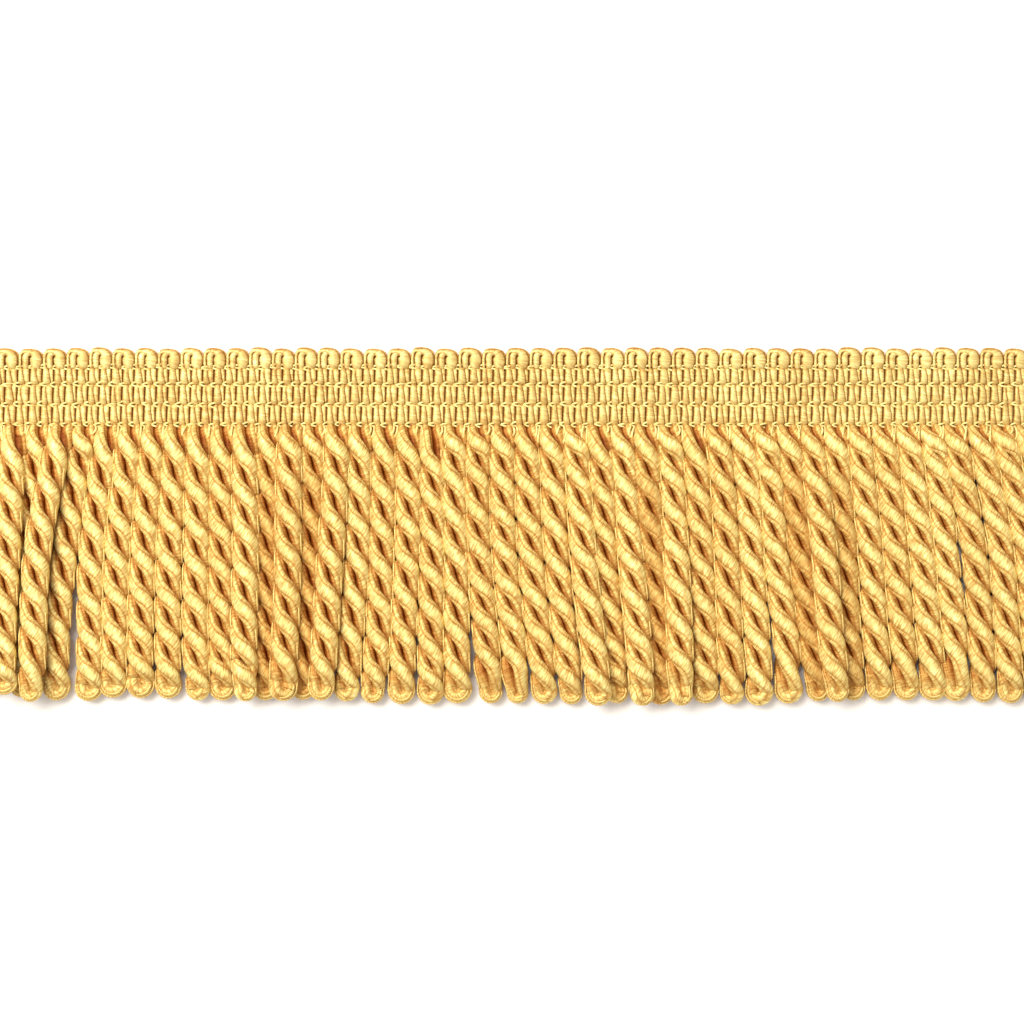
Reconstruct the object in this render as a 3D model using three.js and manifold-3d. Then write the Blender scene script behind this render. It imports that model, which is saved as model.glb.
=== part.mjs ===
// Cord fringe trim, lying face up on its flat back: a woven heading, and a skirt of two-ply twisted cords.
// Millimetres. X runs along the trim, Y points from the cord ends to the scalloped edge, and Z points up.
// While it is built, X starts at its left end and Y at the tops of the scallops.

import * as THREE from "three";
import { mergeVertices } from "three/addons/utils/BufferGeometryUtils.js";
import Module from "manifold-3d";

const wasm = await Module();
wasm.setup();

// Driving sizes of the whole trim
const DROP = 75.6; // from the tops of the scallops to the loops at the cord ends
const HEADING_DEPTH = 17; // the woven band, with its last locking row
const ROOT_STRIP_DEPTH = 1.9; // that last row, which holds the cords and is parted from the band
const PARTING = 0.3; // between the band and the root strip

// Cords lie side by side at these pitches, from the left end to the right end
const PITCH_RUNS = [
  { cords: 3, pitch: 5.17 },
  { cords: 13, pitch: 4.84 },
  { cords: 30, pitch: 5.03 },
];

// The woven band, row by row down from its scalloped edge, with the height of its ribs and of the slots between
const SCALLOP_DEPTH = 0.9;
const SCALLOP_SHOULDER = 0.3; // how far a rib's top lies below the middle of its scallop
const HEADING_ROWS = [
  { name: "scalloped edge", down: 0, rib: 0.9, slot: 0.7, scallop: 1 },
  { name: "crest of the top loops", down: 2.1, rib: 2.6, slot: 1.5, scallop: 0.3 },
  { name: "first locking row", down: 3.9, rib: 1.8, slot: 1.5, scallop: 0 },
  { name: "first course", down: 5.7, rib: 2.6, slot: 1.5, scallop: 0 },
  { name: "second locking row", down: 7.5, rib: 1.8, slot: 1.5, scallop: 0 },
  { name: "second course", down: 9.6, rib: 2.6, slot: 1.5, scallop: 0 },
  { name: "third locking row", down: 11.7, rib: 1.8, slot: 1.5, scallop: 0 },
  { name: "third course", down: 13.3, rib: 2.6, slot: 1.5, scallop: 0 },
  { name: "lower edge", down: HEADING_DEPTH - ROOT_STRIP_DEPTH - PARTING, rib: 1.9, slot: 1.5, scallop: 0 },
];
const COLUMNS_PER_CORD = 4; // slot to the cord before, rib, slot inside the cord's pair, rib
const WASTE = 1; // how far the band's slab reaches below the surface before it is cut off level

// The root strip and one cord, whose section is as wide as its two plies and as thick as one
const ROOT_STRIP_HEIGHT = 2.3;
const CORD_WIDTH = 4.1;
const CORD_THICKNESS = 2.2;
const HALF_TURNS = 7; // from the root to the loop, where the two plies lie side by side again
const RINGS_IN_TWIST = 28;
const LOOP_LENGTH = 1.6; // the untwisted round end
const LOOP_WIDTH_SHARE = 0.55;
const LOOP_THICKNESS_SHARE = 0.7;
const CLIMBING_DISTANCE = 4.9; // from the middle of a cord that lies on its neighbours to the middle of theirs

// How the skirt lies, clump by clump: how far a cord's end sways to the right, how far its middle bows to the
// right of the straight line between root and end, and how much shorter its drop is
const LIE = [
  { cord: 0, sway: -1, bow: 0, shorter: 2.4 },
  { cord: 1, sway: -1.7, bow: 0, shorter: 2.4 },
  { cord: 3, sway: -6.3, bow: -2, shorter: 0.9 },
  { cord: 4, sway: -6.3, bow: -1.3, shorter: 0.9 },
  { cord: 5, sway: -4, bow: -0.8, shorter: 0.8 },
  { cord: 6, sway: -4, bow: -0.8, shorter: 1.5 },
  { cord: 8, sway: -1.9, bow: -0.6, shorter: 1.3 },
  { cord: 9, sway: -0.3, bow: -0.6, shorter: 0.9 },
  { cord: 11, sway: 0.2, bow: 0, shorter: 0.9 },
  { cord: 15, sway: -3.2, bow: 0.5, shorter: 1.1 },
  { cord: 17, sway: -2.5, bow: 0.8, shorter: 0.3 },
  { cord: 19, sway: -0.2, bow: 0.3, shorter: 0 },
  { cord: 20, sway: 0.4, bow: -0.2, shorter: 0.3 },
  { cord: 21, sway: 2.5, bow: -1.2, shorter: 0.3 },
  { cord: 25, sway: 5.1, bow: -0.5, shorter: 0 },
  { cord: 26, sway: 4, bow: -0.3, shorter: 0.3 },
  { cord: 27, sway: 4.2, bow: -0.2, shorter: 0 },
  { cord: 29, sway: 2.3, bow: 0.3, shorter: 0 },
  { cord: 30, sway: 2.7, bow: 0.5, shorter: 0.3 },
  { cord: 32, sway: 4, bow: 0.5, shorter: -0.2 },
  { cord: 34, sway: 6.5, bow: -0.4, shorter: 0.7 },
  { cord: 36, sway: 3.8, bow: -0.2, shorter: 0.9 },
  { cord: 39, sway: 5.7, bow: 0.3, shorter: 0.9 },
  { cord: 40, sway: 5.5, bow: 0.6, shorter: 0.7 },
  { cord: 42, sway: 7, bow: 1.3, shorter: 0.3 },
  { cord: 45, sway: 8.8, bow: 1.3, shorter: 0.3 },
];
const CORDS_ON_TOP = [1, 3, 11, 13, 15, 25, 27, 29, 35];

const SAME_POINT = 1e-4; // corners nearer than this are one corner

// Finish of the yarn
const HEADING_COLOUR = 0xdcb863;
const CORD_COLOUR = 0xd3a654;
const YARN_ROUGHNESS = 0.45;

// The places of the roots, and of the two cut ends
function layRoots() {
  const roots = [];
  let place = 0;
  for (const run of PITCH_RUNS) {
    for (let cord = 0; cord < run.cords; cord += 1) {
      roots.push(place + run.pitch / 2);
      place += run.pitch;
    }
  }
  return { roots, length: place };
}

// A column of LIE for one cord, in a straight line between the clumps
function lieOf(cord, column) {
  const after = Math.max(LIE.findIndex((row) => row.cord >= cord), 1);
  const [left, right] = [LIE[after - 1], LIE[after]];
  return THREE.MathUtils.mapLinear(cord, left.cord, right.cord, left[column], right[column]);
}

// A closed mesh as a solid for cuts and joins
function solidOf(geometry) {
  const bare = geometry.clone();
  bare.deleteAttribute("normal");
  bare.deleteAttribute("uv");
  const merged = mergeVertices(bare, SAME_POINT);
  const vertProperties = new Float32Array(merged.getAttribute("position").array);
  const triVerts = new Uint32Array(merged.index.array);
  return new wasm.Manifold(new wasm.Mesh({ numProp: 3, vertProperties, triVerts }));
}

// The same solid as a geometry to draw
function geometryOf(solid) {
  const mesh = solid.getMesh();
  const geometry = new THREE.BufferGeometry();
  geometry.setAttribute("position", new THREE.BufferAttribute(mesh.vertProperties, 3));
  geometry.setIndex(new THREE.BufferAttribute(mesh.triVerts, 1));
  geometry.computeVertexNormals();
  return geometry;
}

// A box between two corners
function boxBetween(low, high) {
  const size = new THREE.Vector3().subVectors(high, low);
  const box = new THREE.BoxGeometry(size.x, size.y, size.z);
  return box.translate(low.x + size.x / 2, low.y + size.y / 2, low.z + size.z / 2);
}

// Where each column of the band's points stands: a slot at each cord's middle and between cords, ribs between
function headingColumns(roots, length) {
  const columns = [];
  for (let cord = 0; cord <= roots.length; cord += 1) {
    const left = cord === 0 ? 0 : (roots[cord - 1] + roots[cord]) / 2;
    if (cord === roots.length) {
      columns.push({ x: length, isRib: false, edge: 0 });
      break;
    }
    const right = cord === roots.length - 1 ? length : (roots[cord] + roots[cord + 1]) / 2;
    const quarter = (right - left) / COLUMNS_PER_CORD;
    columns.push({ x: left, isRib: false, edge: 0 });
    columns.push({ x: left + quarter, isRib: true, edge: SCALLOP_SHOULDER });
    columns.push({ x: left + 2 * quarter, isRib: false, edge: SCALLOP_DEPTH });
    columns.push({ x: left + 3 * quarter, isRib: true, edge: SCALLOP_SHOULDER });
  }
  return columns;
}

// The woven band: a slab whose upper points are raised at the ribs and drawn down at the locking rows
function makeHeading(roots, length) {
  const columns = headingColumns(roots, length);
  const slab = new THREE.BoxGeometry(1, 1, 1, columns.length - 1, HEADING_ROWS.length - 1, 1);
  const points = slab.getAttribute("position");
  for (let i = 0; i < points.count; i += 1) {
    const column = columns[Math.round((points.getX(i) + 0.5) * (columns.length - 1))];
    const row = HEADING_ROWS[Math.round((0.5 - points.getY(i)) * (HEADING_ROWS.length - 1))];
    const height = column.isRib ? row.rib : row.slot;
    points.setXYZ(i, column.x, -row.down - row.scallop * column.edge, points.getZ(i) > 0 ? height : -WASTE);
  }
  const low = new THREE.Vector3(-WASTE, -HEADING_DEPTH, -2 * WASTE);
  const high = new THREE.Vector3(length + WASTE, WASTE, 0);
  return geometryOf(solidOf(slab).subtract(solidOf(boxBetween(low, high))));
}

// How far a cord's section reaches below its own axis when it is turned by an angle
function reachBelow(angle) {
  const side = (CORD_WIDTH / 2) * Math.abs(Math.sin(angle));
  return side + (CORD_THICKNESS / 2) * Math.abs(Math.cos(angle));
}

// Where a cord's axis lies along X, at a share of its drop
function axisAt(roots, cord, share) {
  return roots[cord] + lieOf(cord, "sway") * share + lieOf(cord, "bow") * Math.sin(Math.PI * share);
}

// How high a cord on top lies above its neighbours: enough to keep its middle clear of theirs
function climbOf(roots, cord, share) {
  if (!CORDS_ON_TOP.includes(cord)) return 0;
  const here = axisAt(roots, cord, share);
  const beside = [cord - 1, cord + 1].map((other) => Math.abs(axisAt(roots, other, share) - here));
  const nearest = Math.min(...beside, CLIMBING_DISTANCE);
  return Math.sqrt(CLIMBING_DISTANCE ** 2 - nearest ** 2);
}

// The height of a cord's axis where its lowest edge just touches the surface
function restOf(turned) {
  const fullTurn = HALF_TURNS * Math.PI;
  const isNearEnd = Math.min(turned, fullTurn - turned) < Math.PI / 2;
  return isNearEnd ? reachBelow(turned) : Math.hypot(CORD_WIDTH, CORD_THICKNESS) / 2;
}

// One cord: a bar held flat in the strip, twisted down to its loop, and flat again in the loop
function makeCord(roots, cord) {
  const held = ROOT_STRIP_DEPTH / 2;
  const drop = DROP - HEADING_DEPTH - lieOf(cord, "shorter");
  const twisted = drop - LOOP_LENGTH;
  const lastRing = RINGS_IN_TWIST + 2;
  const bar = new THREE.BoxGeometry(CORD_WIDTH, CORD_THICKNESS, 1, 1, 1, lastRing);
  const points = bar.getAttribute("position");
  for (let i = 0; i < points.count; i += 1) {
    const ring = Math.round((points.getZ(i) + 0.5) * lastRing);
    const share = THREE.MathUtils.clamp((ring - 1) / RINGS_IN_TWIST, 0, 1);
    const isLoopEnd = ring === lastRing;
    const side = points.getX(i) * (isLoopEnd ? LOOP_WIDTH_SHARE : 1);
    const up = points.getY(i) * (isLoopEnd ? LOOP_THICKNESS_SHARE : 1);
    const turned = share * HALF_TURNS * Math.PI;
    const x = axisAt(roots, cord, share) + side * Math.cos(turned) + up * Math.sin(turned);
    const y = -HEADING_DEPTH + (ring === 0 ? held : 0) - share * twisted - (isLoopEnd ? LOOP_LENGTH : 0);
    const z = restOf(turned) + climbOf(roots, cord, share) - side * Math.sin(turned) + up * Math.cos(turned);
    points.setXYZ(i, x, y, z);
  }
  return bar;
}

// The skirt: every cord joined at its root to the strip
function makeSkirt(roots, length) {
  const low = new THREE.Vector3(0, -HEADING_DEPTH, 0);
  const high = new THREE.Vector3(length, -HEADING_DEPTH + ROOT_STRIP_DEPTH, ROOT_STRIP_HEIGHT);
  let skirt = solidOf(boxBetween(low, high));
  for (let cord = 0; cord < roots.length; cord += 1) skirt = skirt.add(solidOf(makeCord(roots, cord)));
  return geometryOf(skirt);
}

// A named piece in its yarn
function makePiece(name, geometry, color) {
  const yarn = new THREE.MeshStandardMaterial({ color, roughness: YARN_ROUGHNESS, metalness: 0 });
  const piece = new THREE.Mesh(geometry, yarn);
  piece.name = name;
  return piece;
}

const { roots, length } = layRoots();
const trim = new THREE.Group();
trim.add(makePiece("woven_heading", makeHeading(roots, length), HEADING_COLOUR));
trim.add(makePiece("cord_skirt", makeSkirt(roots, length), CORD_COLOUR));

// The finished trim stands with the middle of its outline over the origin
const outline = new THREE.Box3().setFromObject(trim);
trim.position.set(-(outline.min.x + outline.max.x) / 2, -(outline.min.y + outline.max.y) / 2, 0);

export default trim;
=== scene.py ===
"""The looks of the cord fringe trim: gold satin yarn in place of its packed heading and skirt.

The trim is laid out in millimetres, X from its left end and Y from the tops of its scallops, as it lies
face up. TrimLayout turns those places into the frame's metres.
"""

import logging
import math
from dataclasses import dataclass, field
from enum import Enum

import bpy
import numpy as np
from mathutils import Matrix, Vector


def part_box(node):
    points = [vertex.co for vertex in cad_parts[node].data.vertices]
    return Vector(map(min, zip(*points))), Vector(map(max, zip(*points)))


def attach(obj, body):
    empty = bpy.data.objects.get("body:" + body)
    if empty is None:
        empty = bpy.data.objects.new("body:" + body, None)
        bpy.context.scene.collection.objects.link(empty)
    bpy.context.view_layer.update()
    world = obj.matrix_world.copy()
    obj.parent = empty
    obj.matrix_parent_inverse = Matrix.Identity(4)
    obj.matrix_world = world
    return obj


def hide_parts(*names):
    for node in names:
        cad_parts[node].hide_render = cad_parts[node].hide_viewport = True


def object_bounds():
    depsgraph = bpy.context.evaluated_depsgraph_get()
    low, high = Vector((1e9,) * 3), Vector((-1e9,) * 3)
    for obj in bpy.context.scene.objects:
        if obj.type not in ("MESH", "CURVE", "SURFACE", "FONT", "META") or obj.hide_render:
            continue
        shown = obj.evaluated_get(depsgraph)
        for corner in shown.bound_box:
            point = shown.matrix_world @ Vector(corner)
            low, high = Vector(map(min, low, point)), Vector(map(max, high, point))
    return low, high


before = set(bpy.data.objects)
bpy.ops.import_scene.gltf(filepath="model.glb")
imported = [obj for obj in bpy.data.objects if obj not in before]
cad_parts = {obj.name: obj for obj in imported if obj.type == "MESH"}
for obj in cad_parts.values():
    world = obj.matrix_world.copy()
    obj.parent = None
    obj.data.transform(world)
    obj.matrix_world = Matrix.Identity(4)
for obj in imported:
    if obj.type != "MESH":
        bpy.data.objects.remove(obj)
cad_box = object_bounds()

MM = 0.001
UP = np.array([0.0, 0.0, 1.0])
RUN_BETWEEN_TONES = 97.0  # millimetres of yarn, so that strands of different tone have other filaments
log = logging.getLogger("cord_fringe")


def smooth_step(low: float, high: float, value: np.ndarray) -> np.ndarray:
    """A rise from 0 to 1 that is level at both ends.

    Args:
        low: where the rise starts.
        high: where it ends.
        value: the places to read.

    Returns:
        The height of the rise at each place.
    """
    share = np.clip((np.asarray(value, dtype=float) - low) / (high - low), 0.0, 1.0)
    return share * share * (3.0 - 2.0 * share)


def unit(vectors: np.ndarray) -> np.ndarray:
    """The same vectors at length 1."""
    return vectors / np.maximum(np.linalg.norm(vectors, axis=-1, keepdims=True), 1e-9)


def put(name: str, data: bpy.types.ID) -> bpy.types.Object:
    """Puts a new object with this data in the scene."""
    thing = bpy.data.objects.new(name, data)
    bpy.context.scene.collection.objects.link(thing)
    return thing


def smooth_line(stops: np.ndarray, steps: int) -> np.ndarray:
    """A smooth line through a few stops.

    Args:
        stops: the stops, one in each row.
        steps: how many steps lie between neighbouring stops.

    Returns:
        The line's points, from the first stop to the last.
    """
    ends = np.concatenate([[2 * stops[0] - stops[1]], stops, [2 * stops[-1] - stops[-2]]])
    share = np.arange(steps)[:, None] / steps
    made = []
    for before, start, end, after in zip(ends, ends[1:], ends[2:], ends[3:]):
        made.append(
            start
            + share * (end - before) / 2
            + share**2 * (before - 2.5 * start + 2 * end - after / 2)
            + share**3 * (1.5 * start - before / 2 - 1.5 * end + after / 2)
        )
    return np.concatenate([*made, stops[-1:]])


@dataclass(frozen=True)
class PitchRun:
    """Neighbouring cords that are evenly spaced."""

    cords: int
    pitch: float


@dataclass(frozen=True)
class Lie:
    """How one cord lies: its end's sway, its middle's bow, and how much shorter its drop is."""

    cord: int
    sway: float
    bow: float
    shorter: float


@dataclass(frozen=True)
class TrimLayout:
    """Sizes and places that the heading and the skirt share, in millimetres."""

    drop: float = 75.6
    heading_depth: float = 17.0
    climbing_distance: float = 4.9
    pitch_runs: tuple[PitchRun, ...] = (PitchRun(3, 5.17), PitchRun(13, 4.84), PitchRun(30, 5.03))
    cords_on_top: tuple[int, ...] = (1, 3, 11, 13, 15, 25, 27, 29, 35)
    lies: tuple[Lie, ...] = (
        Lie(0, -1.0, 0.0, 2.4),
        Lie(1, -1.7, 0.0, 2.4),
        Lie(3, -6.1, -1.5, 0.9),
        Lie(4, -6.3, -1.3, 0.9),
        Lie(5, -4.2, -1.2, 0.8),
        Lie(6, -4.0, -0.8, 1.5),
        Lie(8, -1.9, -0.6, 1.3),
        Lie(9, -0.3, -0.6, 0.9),
        Lie(11, 0.2, 0.0, 0.9),
        Lie(15, -3.2, 0.5, 1.1),
        Lie(17, -2.5, 0.8, 0.3),
        Lie(19, -0.2, 0.3, 0.0),
        Lie(20, 0.4, -0.2, 0.3),
        Lie(21, 2.5, -1.2, 0.3),
        Lie(25, 5.1, -0.5, 0.0),
        Lie(26, 4.0, -0.3, 0.3),
        Lie(27, 4.2, -0.2, 0.0),
        Lie(29, 2.3, 0.3, 0.0),
        Lie(30, 2.7, 0.5, 0.3),
        Lie(32, 4.0, 0.5, -0.2),
        Lie(34, 6.5, -0.4, 0.7),
        Lie(36, 3.8, -0.2, 0.9),
        Lie(39, 5.7, 0.3, 0.9),
        Lie(40, 5.5, 0.6, 0.7),
        Lie(42, 7.0, 1.3, 0.3),
        Lie(45, 8.8, 1.3, 0.3),
    )

    @property
    def roots(self) -> list[float]:
        """Where each cord's root stands along X."""
        places, start = [], 0.0
        for run in self.pitch_runs:
            places += [start + run.pitch * (cord + 0.5) for cord in range(run.cords)]
            start += run.pitch * run.cords
        return places

    @property
    def length(self) -> float:
        """The length of the heading."""
        return sum(run.cords * run.pitch for run in self.pitch_runs)

    def borders(self) -> list[float]:
        """Where each cord's share of the heading starts, with the heading's end as the last."""
        roots = self.roots
        inner = [(left + right) / 2 for left, right in zip(roots, roots[1:])]
        return [0.0, *inner, self.length]

    def lie(self, cord: int) -> Lie:
        """How a cord lies, in a straight line between the cords that are named.

        Args:
            cord: the cord's number from the left.

        Returns:
            Its lie.
        """
        named = [row.cord for row in self.lies]
        sway, bow, shorter = (
            float(np.interp(cord, named, [getattr(row, column) for row in self.lies]))
            for column in ("sway", "bow", "shorter")
        )
        return Lie(cord, sway, bow, shorter)

    def axis_x(self, cord: int, share: np.ndarray) -> np.ndarray:
        """Where a cord's middle line lies along X.

        Args:
            cord: the cord's number from the left.
            share: shares of its drop, from 0 at the root.

        Returns:
            The places along X.
        """
        lie = self.lie(cord)
        return self.roots[cord] + lie.sway * share + lie.bow * np.sin(np.pi * share)

    def climb(self, cord: int, share: np.ndarray) -> np.ndarray:
        """How high a cord that lies on its neighbours is lifted by them.

        Args:
            cord: the cord's number from the left.
            share: shares of its drop, from 0 at the root.

        Returns:
            The lift at each share.
        """
        if cord not in self.cords_on_top:
            return np.zeros_like(share)
        here = self.axis_x(cord, share)
        gaps = [np.abs(self.axis_x(other, share) - here) for other in (cord - 1, cord + 1)]
        nearest = np.minimum(np.minimum(*gaps), self.climbing_distance)
        return np.sqrt(self.climbing_distance**2 - nearest**2)

    def to_frame(self, points: np.ndarray) -> np.ndarray:
        """Places on the trim as places in the frame.

        Args:
            points: places in millimetres, in the last axis.

        Returns:
            The same places in metres.
        """
        low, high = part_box("woven_heading")
        return points * MM + np.array([low[0], high[1], 0.0])


@dataclass(frozen=True)
class Section:
    """A cross section of yarn: lobes that meet in grooves, on an outline that is round or squarer.

    Its grooves are angles in degrees from the outward side, in rising order, and its lobes follow them. At
    a squareness of 2 the outward half is round, and above that it is flatter. The inward half reaches
    further than the outward one by the share inward.
    """

    grooves: tuple[float, ...]
    points_in_lobes: tuple[int, ...]
    lobe_reach: tuple[float, ...]
    groove_depth: float
    squareness: float = 2.0
    inward: float = 1.0

    def outline(self) -> tuple[np.ndarray, np.ndarray, np.ndarray]:
        """The points of the section.

        Returns:
            How far each lies outward and sideways as shares of the half sizes, how far it is tucked
            inward, and how far it lies in a groove, both from 0 to 1.
        """
        angles, reach, groove_amounts = [], [], []
        ends = (*self.grooves, self.grooves[0] + 360.0)
        for start, end, count, full in zip(ends, ends[1:], self.points_in_lobes, self.lobe_reach):
            shares = (1.0 - np.cos(np.pi * np.arange(count) / count)) / 2.0
            groove_and_shade = 1.0 - np.sqrt(np.sin(np.pi * shares))
            angles += list(np.radians(start + (end - start) * shares))
            reach += list(full - self.groove_depth * groove_and_shade)
            groove_amounts += list(groove_and_shade)
        cosine, sine = np.cos(angles), np.sin(angles)
        power = np.where(cosine > 0.0, self.squareness, 2.0)
        depth = np.where(cosine > 0.0, 1.0, self.inward)
        full = np.array(reach) * ((np.abs(cosine) / depth) ** power + np.abs(sine) ** power) ** (-1.0 / power)
        return full * cosine, full * sine, (1.0 - full * cosine / depth) / 2.0, np.array(groove_amounts)


class Sections(Enum):
    """The cross sections in use."""

    PLY = Section((-128.0, -58.0, 58.0, 128.0), (5, 7, 5, 6), (0.97, 1.0, 0.97, 1.0), 0.15, 2.1, 1.4)
    RIB = Section((-125.0, -55.0, 55.0, 125.0), (2, 4, 2, 2), (1.0, 1.0, 1.0, 1.0), 0.0, 3.0)
    THREAD = Section((-120.0, 0.0, 120.0), (2, 2, 2), (1.0, 1.0, 1.0), 0.0)


@dataclass
class Strand:
    """A length of yarn: its middle line, its outward side and its half sizes, step by step.

    Its tone goes from 0 to 1. Its shade says how much painted shade each step takes, and its tuck share how
    much painted shade its inward side takes there. A strand of a cord also has the cord's height at each step
    as its level, and reaches that far above and below it; its finish paints shade on the points low in the
    cord.
    """

    line: np.ndarray
    outward: np.ndarray
    half_out: np.ndarray
    half_side: np.ndarray
    section: Section
    tone: float = 0.5
    shade: np.ndarray | float = 0.0
    level: np.ndarray | None = None
    tuck_share: np.ndarray | float = 1.0
    reach: float = 2.5

    def sides(self) -> tuple[np.ndarray, np.ndarray]:
        """The outward and the sideways direction at each step, square to the line."""
        tangent = unit(np.gradient(self.line, axis=0))
        along = np.einsum("ij,ij->i", self.outward, tangent)[:, None]
        out = unit(self.outward - along * tangent)
        return out, np.cross(tangent, out)

    def lowness(self, rings: np.ndarray) -> np.ndarray:
        """How low each point lies in its cord, from 0 at the top to 1 at the bottom: the finish paints shade
        on low points.

        Args:
            rings: the surface's points.

        Returns:
            The share at each point, or 0 where the strand isn't part of a cord.
        """
        if self.level is None:
            return np.zeros(rings.shape[:2])
        return np.clip(0.5 + 0.5 * (self.level[:, None] - rings[:, :, 2]) / self.reach, 0.0, 1.0)

    def rings(self) -> tuple[np.ndarray, ...]:
        """The strand's surface as rings of points.

        Returns:
            The rings' points, the length run at each ring, the way round at each point, how far each point
            is turned inward, and the greater of how far each point lies in a groove and its step's shade,
            both from 0 to 1; the finish paints shade by the last two.
        """
        out, side = self.sides()
        outer_share, side_share, tuck, groove_and_shade = self.section.outline()
        angles = np.unwrap(np.arctan2(side_share, outer_share))
        outer = outer_share[None, :, None] * (self.half_out[:, None] * out)[:, None, :]
        lateral = side_share[None, :, None] * (self.half_side[:, None] * side)[:, None, :]
        steps = np.linalg.norm(np.diff(self.line, axis=0), axis=1)
        run = np.concatenate([[0.0], np.cumsum(steps)])
        around = (np.append(angles, angles[0] + 2.0 * np.pi) + np.pi) * float(np.mean(self.half_side))
        shade, tucked = (
            np.broadcast_to(values, len(self.line))[:, None] for values in (self.shade, self.tuck_share)
        )
        return self.line[:, None, :] + outer + lateral, run, around, tucked * tuck, np.maximum(groove_and_shade, shade)


class YarnMesh:
    """Gathers strands into one mesh, with a length map and the shares by which its finish paints shade and
    highlights.
    """

    def __init__(self, layout: TrimLayout) -> None:
        """Starts with no strands."""
        self.layout = layout
        self.points: list[np.ndarray] = []
        self.faces: list[list[int]] = []
        self.maps: list[np.ndarray] = []
        self.shares: dict[str, list[np.ndarray]] = {"tuck": [], "groove_and_shade": [], "tone": [], "low": []}
        self.count = 0

    def add(self, strand: Strand) -> None:
        """Adds a strand, closed at both ends.

        Args:
            strand: the strand.
        """
        rings, run, around, tuck, groove_and_shade = strand.rings()
        steps, ring = rings.shape[:2]
        offset = run[0] + strand.tone * RUN_BETWEEN_TONES
        index = self.count + np.arange(steps * ring).reshape(steps, ring)
        after = np.roll(index, -1, axis=1)
        quads = np.stack([index[:-1], after[:-1], after[1:], index[1:]], axis=-1).reshape(-1, 4)
        self.faces += quads.tolist()
        near = np.broadcast_to(around[:-1], (steps, ring))
        far = np.broadcast_to(around[1:], (steps, ring))
        length = np.broadcast_to((run + offset)[:, None], (steps, ring))
        corners = [
            np.stack([length[:-1], near[:-1]], axis=-1),
            np.stack([length[:-1], far[:-1]], axis=-1),
            np.stack([length[1:], far[1:]], axis=-1),
            np.stack([length[1:], near[1:]], axis=-1),
        ]
        self.maps.append(np.stack(corners, axis=2).reshape(-1, 2))
        for cap in (index[0][::-1], index[-1]):
            self.faces.append(cap.tolist())
            self.maps.append(np.full((ring, 2), offset))
        self.points.append(rings.reshape(-1, 3))
        made = (tuck, groove_and_shade, np.full((steps, ring), strand.tone), strand.lowness(rings))
        for kept, values in zip(self.shares.values(), made):
            kept.append(values.ravel())
        self.count += steps * ring

    def build(self, name: str, material: bpy.types.Material) -> bpy.types.Object:
        """Makes the piece.

        Args:
            name: the piece's name.
            material: its finish.

        Returns:
            The piece, in place.
        """
        mesh = bpy.data.meshes.new(name)
        places = self.layout.to_frame(np.concatenate(self.points))
        mesh.from_pydata(places.tolist(), [], self.faces)
        mesh.uv_layers.new(name="YarnRun").data.foreach_set("uv", np.concatenate(self.maps).ravel())
        for label, values in self.shares.items():
            layer = mesh.attributes.new(label, "FLOAT", "POINT")
            layer.data.foreach_set("value", np.concatenate(values).astype(np.float32))
        mesh.shade_smooth()
        mesh.materials.append(material)
        return put(name, mesh)


class NodePlan:
    """Adds and joins the shader nodes of one material."""

    def __init__(self, name: str) -> None:
        """Starts an empty node tree."""
        self.material = bpy.data.materials.new(name)
        self.material.use_nodes = True
        self.tree = self.material.node_tree
        self.tree.nodes.clear()

    def add(self, kind: str, **settings: object) -> bpy.types.Node:
        """Adds a node.

        Args:
            kind: the node's type.
            settings: its properties by name.

        Returns:
            The node.
        """
        node = self.tree.nodes.new(kind)
        for key, value in settings.items():
            setattr(node, key, value)
        return node

    def feed(self, socket: bpy.types.NodeSocket, value: object) -> None:
        """Joins another node's output to a socket, or sets its number."""
        if isinstance(value, bpy.types.NodeSocket):
            self.tree.links.new(value, socket)
        else:
            socket.default_value = value

    def math(self, operation: str, first: object, second: object = 0.0) -> bpy.types.NodeSocket:
        """A sum of two values.

        Args:
            operation: the kind of sum.
            first: a number or another node's output.
            second: the same.

        Returns:
            The result's output.
        """
        node = self.add("ShaderNodeMath", operation=operation)
        self.feed(node.inputs[0], first)
        self.feed(node.inputs[1], second)
        return node.outputs[0]

    def scale(
        self, value: object, low: float, high: float, to_low: float, to_high: float
    ) -> bpy.types.NodeSocket:
        """Moves a value from one range to another, held at its ends.

        Args:
            value: a node's output.
            low: the start of its range.
            high: the end of its range.
            to_low: what the start becomes.
            to_high: what the end becomes.

        Returns:
            The result's output.
        """
        node = self.add("ShaderNodeMapRange", clamp=True)
        for socket, item in zip(node.inputs[:5], (value, low, high, to_low, to_high)):
            self.feed(socket, item)
        return node.outputs[0]

    def mix(self, share: object, first: object, second: object, blend: str = "MIX") -> bpy.types.NodeSocket:
        """A blend of two colours.

        Args:
            share: how much of the second.
            first: a colour or a node's output.
            second: the same.
            blend: the kind of blend.

        Returns:
            The blend's output.
        """
        node = self.add("ShaderNodeMix", data_type="RGBA", blend_type=blend)
        for socket, item in zip((node.inputs[0], node.inputs[6], node.inputs[7]), (share, first, second)):
            self.feed(socket, item)
        return node.outputs[2]

    def bump(self, height: object, relief_mm: float) -> bpy.types.NodeSocket:
        """The normal of a surface with this relief."""
        node = self.add("ShaderNodeBump")
        node.inputs["Distance"].default_value = relief_mm * MM
        self.feed(node.inputs["Height"], height)
        return node.outputs[0]

    def finish(self, sockets: dict[str, object]) -> bpy.types.Material:
        """Adds the surface shader and joins it to the material's output.

        Args:
            sockets: what its sockets hold by name, each a number, a colour or another node's output.

        Returns:
            The material.
        """
        shader = self.add("ShaderNodeBsdfPrincipled")
        for label, value in sockets.items():
            self.feed(shader.inputs[label], value)
        output = self.add("ShaderNodeOutputMaterial")
        self.feed(output.inputs[0], shader.outputs[0])
        return self.material


Colour = tuple[float, float, float, float]


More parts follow.
